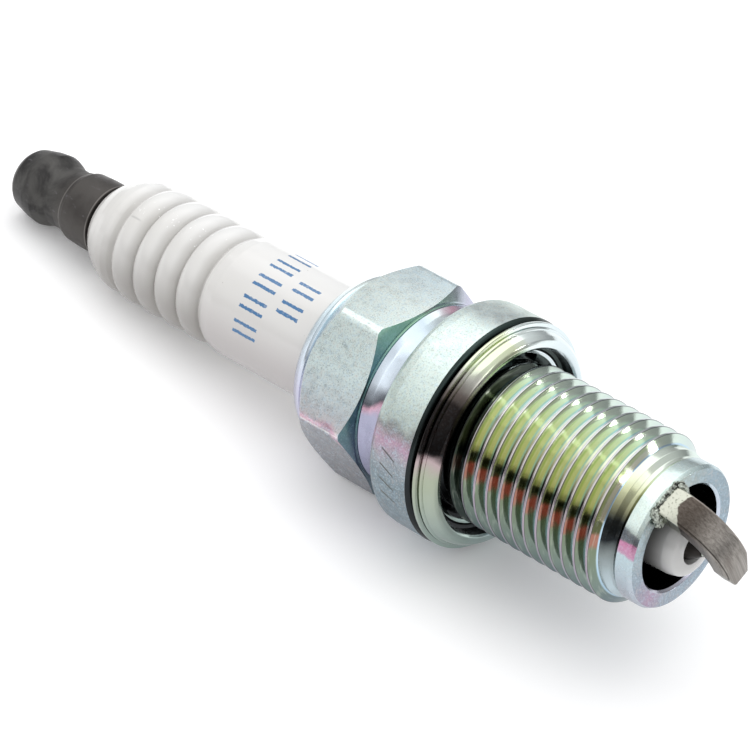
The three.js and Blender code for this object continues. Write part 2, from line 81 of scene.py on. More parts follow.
# ---- Working dimensions ------------------------------------------------------------------------

HEX_HALF = 8.0                # axis to a wrench flat
HEX_CORNER_R = 9.09           # the forged corners are slightly rounded off
RIM_R = 7.3
CHAMFER_FRONT_X = -7.4        # the front chamfer ends on a thin step
WAIST_R = 7.5
FLANGE_BACK_X = -4.3
UNDERCUT_R = 6.05
THREAD_MAJOR_R = 6.95
THREAD_ROOT_R = 6.18
THREAD_PITCH = 1.25
THREAD_START_X = 0.95
THREAD_RIDGE_X = 1.091        # where the helical ridge rises, on the +Y side
THREAD_ROOT_X = THREAD_RIDGE_X - THREAD_PITCH / 2
THREAD_TURNS = 12.05
THREAD_END_X = 16.7
GROOVE_R = 5.8
END_BAND_R = 6.0
END_FACE_R = 5.85
END_BORE_R = 4.43
INSULATOR_R = 5.15
RIB_PITCH = 2.53
FIRST_NOTCH_X = -38.25
NOTCH_COUNT = 5
RIB_DEPTH = 0.66
STRAP_ANGLE = 116.5
STRAP_FOOT_N = 5.8            # n is measured outwards from the axis along STRAP_ANGLE
STRAP_THICKNESS = 1.35
STRAP_WIDTH = 2.62
STRAP_TIP_WIDTH = 1.6
STRAP_BEND_R = 5.3
STRAP_TIP_N = -1.05
STRAP_TAPER_N = 0.7
CLAW_ANGLES = (45, 135, 225, 315)


# ---- Meshes ------------------------------------------------------------------------------------

def around(x, r, degrees):
    """The point at x along the plug and r from its axis, in millimetres."""
    angle = math.radians(degrees)
    return Vector((x, r * math.cos(angle), r * math.sin(angle)))


def rounded(corners, closed=True):
    """Turns (x, r, fillet radius, zone) corners into (x, r, zone) points, with a short arc at
    each corner that has a radius. A zone is the material of the stretch after its corner."""
    points = []
    count = len(corners)
    for i, (x, r, radius, zone) in enumerate(corners):
        before = corners[i - 1]
        after = corners[(i + 1) % count]
        if radius == 0 or (not closed and i in (0, count - 1)):
            points.append((x, r, zone))
            continue
        corner = Vector((x, r))
        back = Vector(before[:2]) - corner
        on = Vector(after[:2]) - corner
        half_turn = max(back.angle(on, math.pi) / 2, 0.02)
        reach = min(radius / math.tan(half_turn), 0.45 * back.length, 0.45 * on.length)
        start = corner + back.normalized() * reach
        end = corner + on.normalized() * reach
        for step in range(FILLET_STEPS + 1):
            t = step / FILLET_STEPS
            p = start.lerp(corner, t).lerp(corner.lerp(end, t), t)
            points.append((p.x, p.y, before[3] if t < 0.5 else zone))
    return points


def finish_mesh(name, mesh, materials, crease=40):
    """Makes the object from a bmesh in millimetres, closed, facing out and shaded smoothly."""
    bmesh.ops.remove_doubles(mesh, verts=mesh.verts, dist=1e-5)
    bmesh.ops.recalc_face_normals(mesh, faces=mesh.faces)
    mesh.transform(Matrix.Scale(MM, 4))
    data = bpy.data.meshes.new(name)
    mesh.to_mesh(data)
    mesh.free()
    data.shade_smooth()
    data.set_sharp_from_angle(angle=math.radians(crease))
    for material in materials:
        data.materials.append(material)
    piece = bpy.data.objects.new(name, data)
    bpy.context.scene.collection.objects.link(piece)
    return piece


def turned(name, outline_at, materials, segments=SEGMENTS, crease=40):
    """A closed surface about the plug's axis. outline_at(degrees) gives (x, r, zone) points,
    which run from axis to axis or close on themselves."""
    mesh = bmesh.new()
    columns = []
    for i in range(segments):
        angle = 360 * i / segments
        outline = outline_at(angle)
        columns.append([mesh.verts.new(around(x, r, angle)) for x, r, _ in outline])
    zones = [zone for _, _, zone in outline]
    count = len(zones)
    open_ended = outline[0][1] < 1e-6 and outline[-1][1] < 1e-6
    for i in range(segments):
        here, there = columns[i], columns[(i + 1) % segments]
        for j in range(count - 1 if open_ended else count):
            k = (j + 1) % count
            face = mesh.faces.new((here[j], here[k], there[k], there[j]))
            face.material_index = zones[j]
    return finish_mesh(name, mesh, materials, crease)


def revolved(name, corners, materials, segments=SEGMENTS, crease=40):
    """A turned piece whose outline is the same all round."""
    outline = rounded(corners)
    return turned(name, lambda angle: outline, materials, segments, crease)


def swept(name, sections, materials, crease=40):
    """A closed tube through equal rings of points, with flat ends."""
    mesh = bmesh.new()
    rings = [[mesh.verts.new(point) for point in section] for section in sections]
    count = len(rings[0])
    for here, there in zip(rings, rings[1:]):
        for j in range(count):
            k = (j + 1) % count
            mesh.faces.new((here[j], here[k], there[k], there[j]))
    mesh.faces.new(rings[0])
    mesh.faces.new(list(reversed(rings[-1])))
    return finish_mesh(name, mesh, materials, crease)


def stands_for(piece, body, slot, *nodes):
    """Rides the piece on its body and hides the CAD nodes that it stands for. The finish's slot is not used.
    """
    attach(piece, body)
    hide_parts(*nodes)


# ---- Node materials ----------------------------------------------------------------------------

class Finish:
    """A node material on the Principled shader, with one short call for each node in use."""

    def __init__(self, name, uniform):
        self.material = bpy.data.materials.new(name)
        self.material.use_nodes = True
        self.nodes = self.material.node_tree.nodes
        self.links = self.material.node_tree.links
        self.shader = self.nodes["Principled BSDF"]
        for socket, value in uniform.items():
            self.shader.inputs[socket].default_value = value
        position = self.node("TexCoord").outputs["Object"]
        scaled = self.node("VectorMath", {0: position}, operation="SCALE")
        scaled.inputs["Scale"].default_value = 1 / MM
        self.place = scaled.outputs[0]
        split = self.node("SeparateXYZ", {0: self.place})
        self.x = split.outputs[0]
        self.turn = self.turn_from(split.outputs[1], split.outputs[2])

    def put(self, socket, value):
        if isinstance(value, bpy.types.NodeSocket):
            self.links.new(value, socket)
        else:
            socket.default_value = value

    def node(self, kind, sockets=None, **settings):
        node = self.nodes.new("ShaderNode" + kind)
        for key, value in settings.items():
            setattr(node, key, value)
        for socket, value in (sockets or {}).items():
            self.put(node.inputs[socket], value)
        return node

    def math(self, operation, a, b=0.0, c=0.0):
        return self.node("Math", {0: a, 1: b, 2: c}, operation=operation).outputs[0]

    def turn_from(self, y, z):
        """The angle about the axis in degrees, from -45 to 315."""
        share = self.math("DIVIDE", self.math("ARCTAN2", z, y), 2 * math.pi)
        wrapped = self.math("FRACT", self.math("ADD", share, 1.125))
        return self.math("MULTIPLY_ADD", wrapped, 360.0, -45.0)

    def noise(self, scale, detail=2.0, roughness=0.5, stretch=None, distortion=0.0):
        """Noise from 0 to 1; scale is in features per millimetre."""
        place = self.place
        if stretch:
            place = self.node("VectorMath", {0: place, 1: stretch}, operation="MULTIPLY").outputs[0]
        sockets = {"Vector": place, "Scale": scale, "Detail": detail}
        sockets.update({"Roughness": roughness, "Distortion": distortion})
        return self.node("TexNoise", sockets).outputs[0]

    def span(self, value, low, high, to_low=0.0, to_high=1.0):
        """Maps low..high to to_low..to_high, clamped and eased."""
        sockets = {"Value": value, "From Min": low, "From Max": high}
        sockets.update({"To Min": to_low, "To Max": to_high})
        return self.node("MapRange", sockets, interpolation_type="SMOOTHSTEP").outputs[0]

    def within(self, value, low, high, edge):
        """1 between low and high, and 0 outside them."""
        rise = self.span(value, low - edge, low + edge)
        fall = self.span(value, high - edge, high + edge, 1.0, 0.0)
        return self.math("MULTIPLY", rise, fall)

    def ramp(self, value, low, high, stops):
        """A colour that changes along value; stops are (value, colour) in rising order."""
        share = self.node("MapRange", {"Value": value, "From Min": low, "From Max": high})
        ramp = self.node("ValToRGB", {0: share.outputs[0]})
        elements = ramp.color_ramp.elements
        while len(elements) > 1:
            elements.remove(elements[-1])
        for i, (at, colour) in enumerate(stops):
            element = elements[0] if i == 0 else elements.new((at - low) / (high - low))
            element.position = (at - low) / (high - low)
            element.color = (*colour, 1.0)
        return ramp.outputs[0]

    def mix(self, share, a, b):
        """Colour a with share 0 and b with share 1."""
        mix = self.node("Mix", data_type="RGBA")
        self.put(mix.inputs[0], share)
        for socket, colour in ((mix.inputs[6], a), (mix.inputs[7], b)):
            self.put(socket, (*colour, 1.0) if isinstance(colour, tuple) else colour)
        return mix.outputs[2]

    def bump(self, height, depth_mm, strength=1.0, below=None):
        sockets = {"Height": height, "Distance": depth_mm * MM, "Strength": strength}
        if below is not None:
            sockets["Normal"] = below
        return self.node("Bump", sockets).outputs[0]

    def wire(self, colour=None, roughness=None, normal=None):
        for socket, value in (("Base Color", colour), ("Roughness", roughness), ("Normal", normal)):
            if value is not None:
                self.put(self.shader.inputs[socket], value)
        return self.material


# Tints of the plating, and of the reflections painted with them
BRIGHT = (0.78, 0.86, 0.84)
MINT = (0.60, 0.70, 0.65)
PALE_BLUE = (0.54, 0.65, 0.70)
LAVENDER = (0.52, 0.52, 0.64)
PINK = (0.62, 0.38, 0.48)
STEEL_GREY = (0.34, 0.34, 0.38)
TEAL = (0.10, 0.20, 0.20)
OLIVE = (0.09, 0.10, 0.05)
# This reddish brown is used only for the thread's painted reflection blocks.
REDDISH_BROWN_REFLECTION = (0.32, 0.15, 0.11)
BLACK = (0.025, 0.028, 0.03)


def plating(name, tints, roughness, speckle=0.3, grain_mm=0.004, marks=None, worn=None):
    """Zinc-type plating. Its tints change round the axis, with clouds, specks and fine grain.
    The tints hold painted reflections and shade as well as the plating's own colour.
    marks and worn are functions that give masks for dented places and for lighter worn places that also carry
    a painted highlight."""
    g = Finish(name, {"Metallic": 1.0})
    fine = g.noise(8.0, 3.0, 0.8)
    drift = g.math("MULTIPLY_ADD", g.noise(0.28, 3.0), 24.0, -12.0)
    tint = g.ramp(g.math("ADD", g.turn, drift), -45, 315, tints)
    film = g.noise(3.4, 4.0, 0.7)
    cooler = g.math("MULTIPLY", g.span(film, 0.5, 0.62), 0.9 * speckle)
    warmer = g.math("MULTIPLY", g.span(film, 0.47, 0.36), 0.7 * speckle)
    colour = g.mix(cooler, tint, (0.50, 0.64, 0.74))
    colour = g.mix(warmer, colour, (0.66, 0.60, 0.56))
    specks = g.math("MULTIPLY", g.span(fine, 0.52, 0.63), speckle)
    colour = g.mix(specks, colour, (0.14, 0.16, 0.16))
    light = g.math("MULTIPLY", g.span(fine, 0.46, 0.36), speckle)
    colour = g.mix(light, colour, g.mix(0.6, tint, BRIGHT))
    smudge = g.math("MULTIPLY", g.span(g.noise(0.8, 6.0, 0.8), 0.55, 0.68), 0.8 * speckle)
    colour = g.mix(smudge, colour, (0.2, 0.23, 0.22))
    normal = g.bump(fine, grain_mm)
    if worn:
        colour = g.mix(worn(g), colour, (0.88, 0.92, 0.88))
    if marks:
        mask = marks(g)
        colour = g.mix(mask, colour, (0.1, 0.1, 0.09))
        normal = g.bump(g.math("SUBTRACT", 1.0, mask), 0.06, below=normal)
    shine = g.span(g.noise(1.3, 3.0), 0.3, 0.7, roughness * 0.8, roughness * 1.25)
    return g.wire(colour, shine, normal)


def corner_wear_highlight(g):
    """The six wrench corners are lighter, unevenly: wear with a painted highlight."""
    share = g.math("FRACT", g.math("DIVIDE", g.math("ADD", g.turn, 75.0), 60.0))
    corner = g.within(share, 0.243, 0.257, 0.008)
    return g.math("MULTIPLY", corner, g.span(g.noise(1.6, 3.0), 0.3, 0.6, 0.15, 0.5))


def dash_marks(g):
    """A few plain stamped dashes, low on the flange."""
    step = g.math("DIVIDE", g.math("SUBTRACT", g.turn, 166.0), 8.0)
    inside = g.within(step, 0.0, 4.0, 0.001)
    slanted = g.math("ADD", g.math("FRACT", step), g.math("MULTIPLY_ADD", g.x, -0.35, -0.82))
    dash = g.math("MULTIPLY", g.within(slanted, 0.44, 0.55, 0.03), g.within(g.x, -3.0, -1.6, 0.1))
    return g.math("MULTIPLY", g.math("MULTIPLY", dash, inside), 0.8)


def flats_plating():
    tints = [(-45, LAVENDER), (50, PALE_BLUE), (90, (0.66, 0.74, 0.71)), (120, (0.66, 0.76, 0.73)),
             (150, (0.68, 0.79, 0.78)), (170, (0.56, 0.6, 0.63)), (178, (0.6, 0.58, 0.6)),
             (181, PINK), (185, (0.25, 0.25, 0.28)), (260, (0.25, 0.25, 0.28)), (315, LAVENDER)]
    return plating("plating_flats", tints, 0.32, speckle=0.46, grain_mm=0.008, worn=corner_wear_highlight)


def rim_plating():
    tints = [(-45, LAVENDER), (60, PALE_BLUE), (90, BRIGHT), (120, (0.6, 0.72, 0.78)),
             (150, (0.62, 0.7, 0.78)), (175, LAVENDER), (200, LAVENDER), (260, STEEL_GREY), (315, LAVENDER)]
    return plating("plating_rim", tints, 0.2, speckle=0.08, grain_mm=0.001)


def chamfer_plating():
    tints = [(-45, TEAL), (50, LAVENDER), (78, (0.3, 0.44, 0.38)), (105, (0.2, 0.34, 0.24)),
             (135, TEAL), (170, (0.07, 0.15, 0.155)), (190, (0.12, 0.17, 0.22)),
             (215, (0.12, 0.16, 0.2)), (315, TEAL)]
    return plating("plating_chamfer", tints, 0.2, speckle=0.1, grain_mm=0.001)


def waist_plating():
    tints = [(-45, LAVENDER), (60, LAVENDER), (72, PINK), (82, (0.62, 0.7, 0.72)), (100, (0.42, 0.5, 0.55)),
             (125, (0.6, 0.68, 0.76)), (146, (0.66, 0.74, 0.82)), (156, (0.16, 0.17, 0.2)), (159, PINK),
             (164, (0.36, 0.36, 0.48)), (215, (0.3, 0.3, 0.42)), (260, STEEL_GREY), (315, LAVENDER)]
    return plating("plating_waist", tints, 0.24, speckle=0.05, grain_mm=0.0008)


def flange_plating():
    tints = [(-45, PALE_BLUE), (60, MINT), (80, (0.5, 0.56, 0.55)), (92, (0.66, 0.76, 0.72)), (140, MINT),
             (153, (0.52, 0.6, 0.56)), (157, (0.26, 0.27, 0.27)), (164, (0.44, 0.28, 0.38)),
             (172, (0.28, 0.3, 0.33)), (182, (0.19, 0.24, 0.27)), (230, (0.22, 0.28, 0.32)), (315, PALE_BLUE)]
    return plating("plating_flange", tints, 0.4, speckle=0.4, grain_mm=0.008, marks=dash_marks)


def dark_plating(name):
    """Near-black plating for inner faces; the darkness is painted shade."""
    tints = [(-45, BLACK), (100, (0.04, 0.06, 0.055)), (180, BLACK), (315, BLACK)]
    return plating(name, tints, 0.22, speckle=0.0, grain_mm=0.001)


def groove_plating():
    tints = [(-45, (0.3, 0.36, 0.38)), (50, MINT), (100, (0.6, 0.66, 0.58)), (112, (0.6, 0.64, 0.5)),
             (126, (0.42, 0.44, 0.28)), (140, (0.2, 0.2, 0.12)), (150, (0.02, 0.022, 0.02)),
             (163, (0.012, 0.014, 0.016)), (176, (0.2, 0.23, 0.23)), (215, PALE_BLUE),
             (315, (0.3, 0.36, 0.38))]
    return plating("plating_groove", tints, 0.16, speckle=0.02, grain_mm=0.0008)


def band_plating():
    tints = [(-45, (0.4, 0.5, 0.56)), (60, (0.44, 0.55, 0.58)), (110, (0.6, 0.7, 0.64)),
             (153, (0.64, 0.74, 0.7)), (155, (0.2, 0.22, 0.24)), (160.5, (0.14, 0.15, 0.17)),
             (161.5, (0.5, 0.2, 0.34)), (168.5, (0.46, 0.24, 0.36)), (170, (0.42, 0.52, 0.56)),
             (250, (0.52, 0.5, 0.6)), (315, (0.4, 0.5, 0.56))]
    return plating("plating_band", tints, 0.24, speckle=0.16, grain_mm=0.002)


def end_plating():
    tints = [(-45, (0.24, 0.31, 0.38)), (60, (0.25, 0.33, 0.38)), (110, (0.4, 0.44, 0.37)),
             (150, (0.34, 0.42, 0.44)), (200, (0.26, 0.31, 0.37)), (226, (0.36, 0.25, 0.36)),
             (250, (0.3, 0.34, 0.4)), (315, (0.24, 0.31, 0.38))]
    return plating("plating_end", tints, 0.34, speckle=0.42, grain_mm=0.004)


def thread_plating():
    """Front flanks carry the strongest tints; crests are burnished and the roots stay pale.
    The dark and rust blocks, the glint and the shaded start are painted reflections and shade."""
    g = Finish("plating_thread", {"Metallic": 1.0})
    jitter = g.math("MULTIPLY_ADD", g.noise(1.2, 4.0, 0.7), 9.0, -4.5)
    angle = g.math("ADD", g.turn, jitter)
    upper = [(-45, (0.24, 0.31, 0.32)), (40, (0.5, 0.6, 0.58)), (74, (0.66, 0.78, 0.68))]
    lower = [(155, OLIVE), (161, OLIVE), (162.5, REDDISH_BROWN_REFLECTION), (171, REDDISH_BROWN_REFLECTION), (174, (0.17, 0.21, 0.14)),
             (205, (0.2, 0.26, 0.23)), (235, (0.14, 0.2, 0.22)), (315, (0.2, 0.27, 0.28))]
    green = [(92, (0.5, 0.6, 0.42)), (118, (0.42, 0.5, 0.26)), (153, (0.44, 0.48, 0.2))]
    cream = [(92, (0.6, 0.66, 0.56)), (118, (0.62, 0.6, 0.46)), (153, (0.62, 0.58, 0.42))]
    crests = [(-45, LAVENDER), (60, (0.6, 0.68, 0.7)), (140, (0.62, 0.58, 0.56)), (165, (0.4, 0.34, 0.38)),
              (180, (0.5, 0.42, 0.5)), (230, LAVENDER), (315, LAVENDER)]
    along = g.math("DIVIDE", g.math("SUBTRACT", g.x, THREAD_ROOT_X), THREAD_PITCH)
    turned_back = g.math("SUBTRACT", along, g.math("DIVIDE", g.turn, 360.0))
    phase = g.math("FRACT", g.math("ADD", turned_back, 8.0))
    flank = g.mix(g.span(phase, 0.68, 0.74), g.ramp(angle, -45, 315, upper + green + lower),
                  g.ramp(angle, -45, 315, upper + cream + lower))
    colour = g.mix(g.within(phase, 0.41, 0.585, 0.012), flank, g.ramp(angle, -45, 315, crests))
    lines = g.math("ADD", g.within(phase, 0.475, 0.505, 0.008), g.within(phase, 0.565, 0.59, 0.008))
    colour = g.mix(g.math("MULTIPLY", lines, 0.85), colour, (0.03, 0.03, 0.035))
    root = g.math("ADD", g.span(phase, 0.84, 0.89), g.span(phase, 0.12, 0.06))
    colour = g.mix(root, colour, (0.42, 0.58, 0.70))
    from_start = g.math("ADD", g.x, g.math("DIVIDE", g.turn, -360.0))
    shaded = g.math("MULTIPLY", g.span(from_start, 2.75, 2.2), 0.86)
    colour = g.mix(shaded, colour, (0.02, 0.03, 0.026))
    nicks = g.math("MULTIPLY", g.span(g.noise(3.2, 4.0, 0.7), 0.64, 0.72), 0.6)
    colour = g.mix(nicks, colour, (0.13, 0.12, 0.11))
    streaks = g.noise(1.0, 3.0, 0.6, stretch=(9.0, 0.6, 0.6))
    colour = g.mix(g.math("MULTIPLY", g.span(streaks, 0.5, 0.75), 0.25), colour, (0.66, 0.72, 0.62))
    glint = g.math("MULTIPLY", g.within(angle, 113.0, 116.5, 1.4), g.within(phase, 0.62, 0.9, 0.04))
    colour = g.mix(g.math("MULTIPLY", glint, 0.6), colour, (0.95, 1.0, 0.86))
    shine = g.span(streaks, 0.3, 0.7, 0.07, 0.14)
    return g.wire(colour, shine, g.bump(g.noise(9.0, 3.0, 0.6), 0.002))


def gasket_plating():
    """Bright plating with a near-black band, which is a painted reflection."""
    tints = [(-45, PALE_BLUE), (50, (0.66, 0.74, 0.76)), (80, BRIGHT), (92, (0.64, 0.7, 0.48)),
             (110, (0.6, 0.66, 0.5)), (119, (0.4, 0.4, 0.36)), (129, (0.12, 0.1, 0.09)),
             (136, (0.02, 0.016, 0.015)), (164, (0.012, 0.01, 0.01)), (167, (0.42, 0.33, 0.34)),
             (176, (0.34, 0.38, 0.29)), (205, (0.4, 0.47, 0.42)), (232, (0.4, 0.5, 0.46)),
             (315, PALE_BLUE)]
    return plating("plating_gasket", tints, 0.15, speckle=0.02, grain_mm=0.0006)


def glaze():
    """White glaze with warm painted shade in the valleys, stray specks, a scuff and printed bars.
    lit, under, sparkle and the nose's gradient are painted light and shade."""
    uniform = {"Metallic": 0.0, "IOR": 1.52, "Coat Weight": 0.15, "Coat Roughness": 0.06}
    g = Finish("insulator_glaze", uniform)
    cream = (0.66, 0.65, 0.625)
    lit = g.within(g.turn, 35.0, 96.0, 26.0)
    under = g.within(g.turn, 166.0, 262.0, 30.0)
    on_ribs = g.span(g.x, -26.4, -28.4)
    warm = g.span(g.noise(0.12, 2.0), 0.35, 0.65)
    colour = g.mix(warm, cream, (0.68, 0.672, 0.655))
    colour = g.mix(lit, colour, (0.78, 0.78, 0.77))
    colour = g.mix(under, colour, g.mix(on_ribs, (0.475, 0.45, 0.445), (0.36, 0.345, 0.33)))
    ribs_along = g.math("DIVIDE", g.math("SUBTRACT", g.x, FIRST_NOTCH_X), RIB_PITCH)
    rib = g.math("FRACT", g.math("ADD", ribs_along, 4.0))
    # The valleys between the ribs are darkened and warmed: painted shade.
    valley_shade = g.math("ADD", g.span(rib, 0.62, 0.97), g.span(rib, 0.08, 0.0))
    valley_shade = g.math("MULTIPLY", g.math("MULTIPLY", valley_shade, on_ribs), g.span(g.x, -41.2, -39.6))
    colour = g.mix(g.math("MULTIPLY", valley_shade, 0.42), colour, (0.33, 0.315, 0.29))
    nose = g.span(g.x, 17.6, 20.6)
    colour = g.mix(g.span(g.x, 2.0, 6.0), colour, g.mix(nose, (0.17, 0.17, 0.165), (0.56, 0.56, 0.55)))
    specks = g.math("MULTIPLY", g.span(g.noise(2.1, 1.0), 0.795, 0.82), 0.6)
    colour = g.mix(specks, colour, (0.3, 0.27, 0.24))
    strewn = g.math("MULTIPLY", g.within(g.turn, 96.0, 118.0, 6.0), g.within(g.x, -38.0, -28.0, 1.5))
    sparkle = g.math("MULTIPLY", g.span(g.noise(3.1, 2.0, 0.7), 0.68, 0.72), strewn)
    colour = g.mix(sparkle, colour, (0.98, 0.98, 0.98))
    scuff = g.math("MULTIPLY", g.within(g.x, -37.7, -36.6, 0.25), g.within(g.turn, 122.4, 124.0, 0.9))
    colour = g.mix(g.math("MULTIPLY", scuff, 0.4), colour, (0.3, 0.3, 0.3))
    colour = g.mix(printed_bars(g), colour, (0.02, 0.14, 0.33))
    wave = g.noise(0.5, 2.0)
    return g.wire(colour, g.span(wave, 0.3, 0.7, 0.14, 0.2), g.bump(wave, 0.002))


def printed_bars(g):
    """Two rows of plain double bars round the barrel, with slightly ragged ink edges."""
    ragged = g.math("MULTIPLY_ADD", g.noise(5.0, 2.0), 0.24, -0.12)
    x = g.math("ADD", g.x, ragged)
    angle = g.math("ADD", g.turn, g.math("MULTIPLY", ragged, 9.0))
    ink = None
    for low_x, high_x, first, count in ((-23.6, -21.1, 70.0, 5), (-20.1, -17.8, 106.0, 2)):
        rows = g.within(x, low_x, high_x, 0.03)
        step = g.math("DIVIDE", g.math("SUBTRACT", angle, first - 12.0), 24.0)
        inside = g.within(step, 0.0, float(count), 0.001)
        part = g.math("FRACT", step)
        bars = g.math("ADD", g.within(part, 0.22, 0.35, 0.012), g.within(part, 0.62, 0.75, 0.012))
        row = g.math("MULTIPLY", g.math("MULTIPLY", rows, inside), bars)
        ink = row if ink is None else g.math("MAXIMUM", ink, row)
    patchy = g.span(g.noise(3.5, 3.0), 0.25, 0.5, 0.72, 0.95)
    return g.math("MULTIPLY", ink, patchy)


def oxidised_steel():
    """The dark, dull terminal: smoky patches, lighter worn streaks and a fine matt grain."""
    g = Finish("oxidised_steel", {"Metallic": 0.75})
    patch = g.noise(0.38, 4.0, 0.6, distortion=0.5)
    colour = g.mix(g.span(patch, 0.35, 0.65), (0.022, 0.021, 0.021), (0.088, 0.086, 0.082))
    skirt = g.span(g.x, -48.4, -46.2)
    colour = g.mix(g.math("MULTIPLY", skirt, 0.7), colour, (0.075, 0.068, 0.063))
    # Two thin lighter rings at the skirt's edges: edge wear with a painted highlight.
    edge_wear_highlight = g.math("MULTIPLY", g.within(g.x, -46.62, -46.48, 0.05), 0.35)
    edge_wear_highlight = g.math("ADD", edge_wear_highlight, g.math("MULTIPLY", g.within(g.x, -43.08, -42.98, 0.04), 0.35))
    colour = g.mix(edge_wear_highlight, colour, (0.35, 0.33, 0.31))
    worn = g.noise(0.9, 3.0, 0.6, stretch=(1.0, 2.4, 2.4))
    colour = g.mix(g.math("MULTIPLY", g.span(worn, 0.6, 0.78), 0.4), colour, (0.2, 0.185, 0.21))
    fine = g.noise(11.0, 3.0, 0.7)
    normal = g.bump(fine, 0.006, below=g.bump(g.noise(0.7, 2.0), 0.05))
    return g.wire(colour, g.span(patch, 0.3, 0.7, 0.38, 0.58), normal)


def strap_nickel():
    """Satin nickel with streaks along the strip; plating still covers the foot. The darker stretch near
    the foot and the dark line near one side edge are painted shade; the light far edge is a painted
    highlight."""
    g = Finish("strap_nickel", {"Metallic": 1.0})
    sideways = {0: g.place, 1: on_strap(0, 0, 1)}
    across = g.node("VectorMath", sideways, operation="DOT_PRODUCT").outputs["Value"]
    g.place = g.node("CombineXYZ", {0: g.x, 1: across}).outputs[0]
    streaks = g.noise(4.0, 5.0, 0.8, stretch=(0.8, 1.5, 1.0))
    mottled = g.noise(1.1, 4.0, 0.6)
    shaded = g.mix(g.span(streaks, 0.3, 0.7), (0.05, 0.041, 0.034), (0.115, 0.098, 0.084))
    nickel = g.mix(g.span(streaks, 0.3, 0.7), (0.165, 0.152, 0.138), (0.36, 0.34, 0.315))
    nickel = g.mix(g.span(g.x, 21.4, 24.4), shaded, nickel)
    nickel = g.mix(g.math("MULTIPLY", g.span(mottled, 0.5, 0.75), 0.5), nickel, (0.11, 0.092, 0.08))
    side_edge_shade = g.within(across, 1.12, 1.2, 0.05)
    nickel = g.mix(g.math("MULTIPLY", side_edge_shade, 0.9), nickel, (0.02, 0.017, 0.015))
    nickel = g.mix(g.math("MULTIPLY", g.span(across, -1.12, -1.24), 0.6), nickel, (0.42, 0.38, 0.34))
    rim = g.math("POWER", g.math("ABSOLUTE", g.math("ADD", across, 0.2)), 2.0)
    edge = g.math("ADD", g.math("MULTIPLY_ADD", g.noise(1.2, 3.0), 0.8, 19.95), g.math("MULTIPLY", rim, 0.35))
    plated = g.span(g.math("SUBTRACT", edge, g.x), -0.06, 0.06)
    pitted = g.span(g.noise(5.0, 4.0, 0.7), 0.55, 0.66)
    colour = g.mix(plated, nickel, g.mix(pitted, (0.46, 0.47, 0.40), (0.13, 0.14, 0.11)))
    fine = g.noise(13.0, 3.0, 0.7)
    return g.wire(colour, g.span(plated, 0.0, 1.0, 0.36, 0.3), g.bump(fine, 0.006))


def weld_metal():
    g = Finish("weld_metal", {"Metallic": 1.0})
    lumps = g.noise(3.0, 4.0, 0.7)
    colour = g.mix(g.span(lumps, 0.35, 0.6), (0.03, 0.03, 0.027), (0.46, 0.5, 0.44))
    return g.wire(colour, g.span(lumps, 0.3, 0.7, 0.45, 0.25), g.bump(lumps, 0.08))


def plain_metal(name, colour, roughness):
    """A machined or pressed metal with soft clouds and fine grain."""
    g = Finish(name, {"Metallic": 1.0})
    cloud = g.noise(0.8, 3.0)
    darker = tuple(0.72 * channel for channel in colour)
    shine = g.span(cloud, 0.3, 0.7, roughness * 0.8, roughness * 1.25)
    return g.wire(g.mix(g.span(cloud, 0.35, 0.7), colour, darker), shine, g.bump(g.noise(9.0, 2.0), 0.003))


def plain_mineral(name, colour, roughness):
    """A dull pressed or fused powder with visible grains."""
    g = Finish(name, {"Metallic": 0.0})
    grains = g.noise(6.0, 3.0, 0.7)
    darker = tuple(0.6 * channel for channel in colour)
    shine = g.span(grains, 0.3, 0.7, roughness * 0.85, min(1.0, roughness * 1.2))
    return g.wire(g.mix(g.span(grains, 0.35, 0.7), colour, darker), shine, g.bump(grains, 0.02))


# ---- Terminal and insulator --------------------------------------------------------------------

def build_terminal(metal):
    """Barrel head, waist and flared skirt, with a shank inside the insulator."""
    top = TERMINAL_TOP_X
    base = INSULATOR_TOP_X - 0.07
    shank_r = 1.6
    shank_end = base + 17
    corners = [
        (top, 0, 0, 0), (top, 2.3, 0.45, 0), (top + 0.55, 2.72, 0.4, 0), (top + 2.0, 3.08, 1.0, 0),
        (top + 3.1, 3.22, 0.7, 0), (top + 3.75, 3.02, 0.5, 0), (top + 4.5, 2.72, 0.7, 0),
        (top + 5.5, 2.68, 0.5, 0), (top + 6.45, 2.9, 0.06, 0), (top + 6.95, 3.12, 0.3, 0),
        (top + 8.4, 3.2, 0.5, 0), (base - 0.3, 3.2, 0.06, 0), (base - 0.26, 2.85, 0.03, 0),
        (base, 2.85, 0.03, 0), (base, shank_r, 0, 0), (shank_end, shank_r, 0, 0), (shank_end, 0, 0, 0),
    ]
    return revolved("terminal_fine", corners, [metal], 160)


def rib_corners():
    """Full, rounded ribs that lean slightly towards the terminal, with tight valleys."""
    samples = 20
    lean = 0.9
    fullness = 0.62
    corners = []
    for i in range((NOTCH_COUNT - 1) * samples + 1):
        phase = (i % samples) / samples
        height = math.sin(math.pi * phase ** lean) ** fullness
        r = INSULATOR_R - 0.03 - RIB_DEPTH * (1 - height)
        corners.append((FIRST_NOTCH_X + i / samples * RIB_PITCH, r, 0.12 if phase == 0 else 0, 0))
    return corners


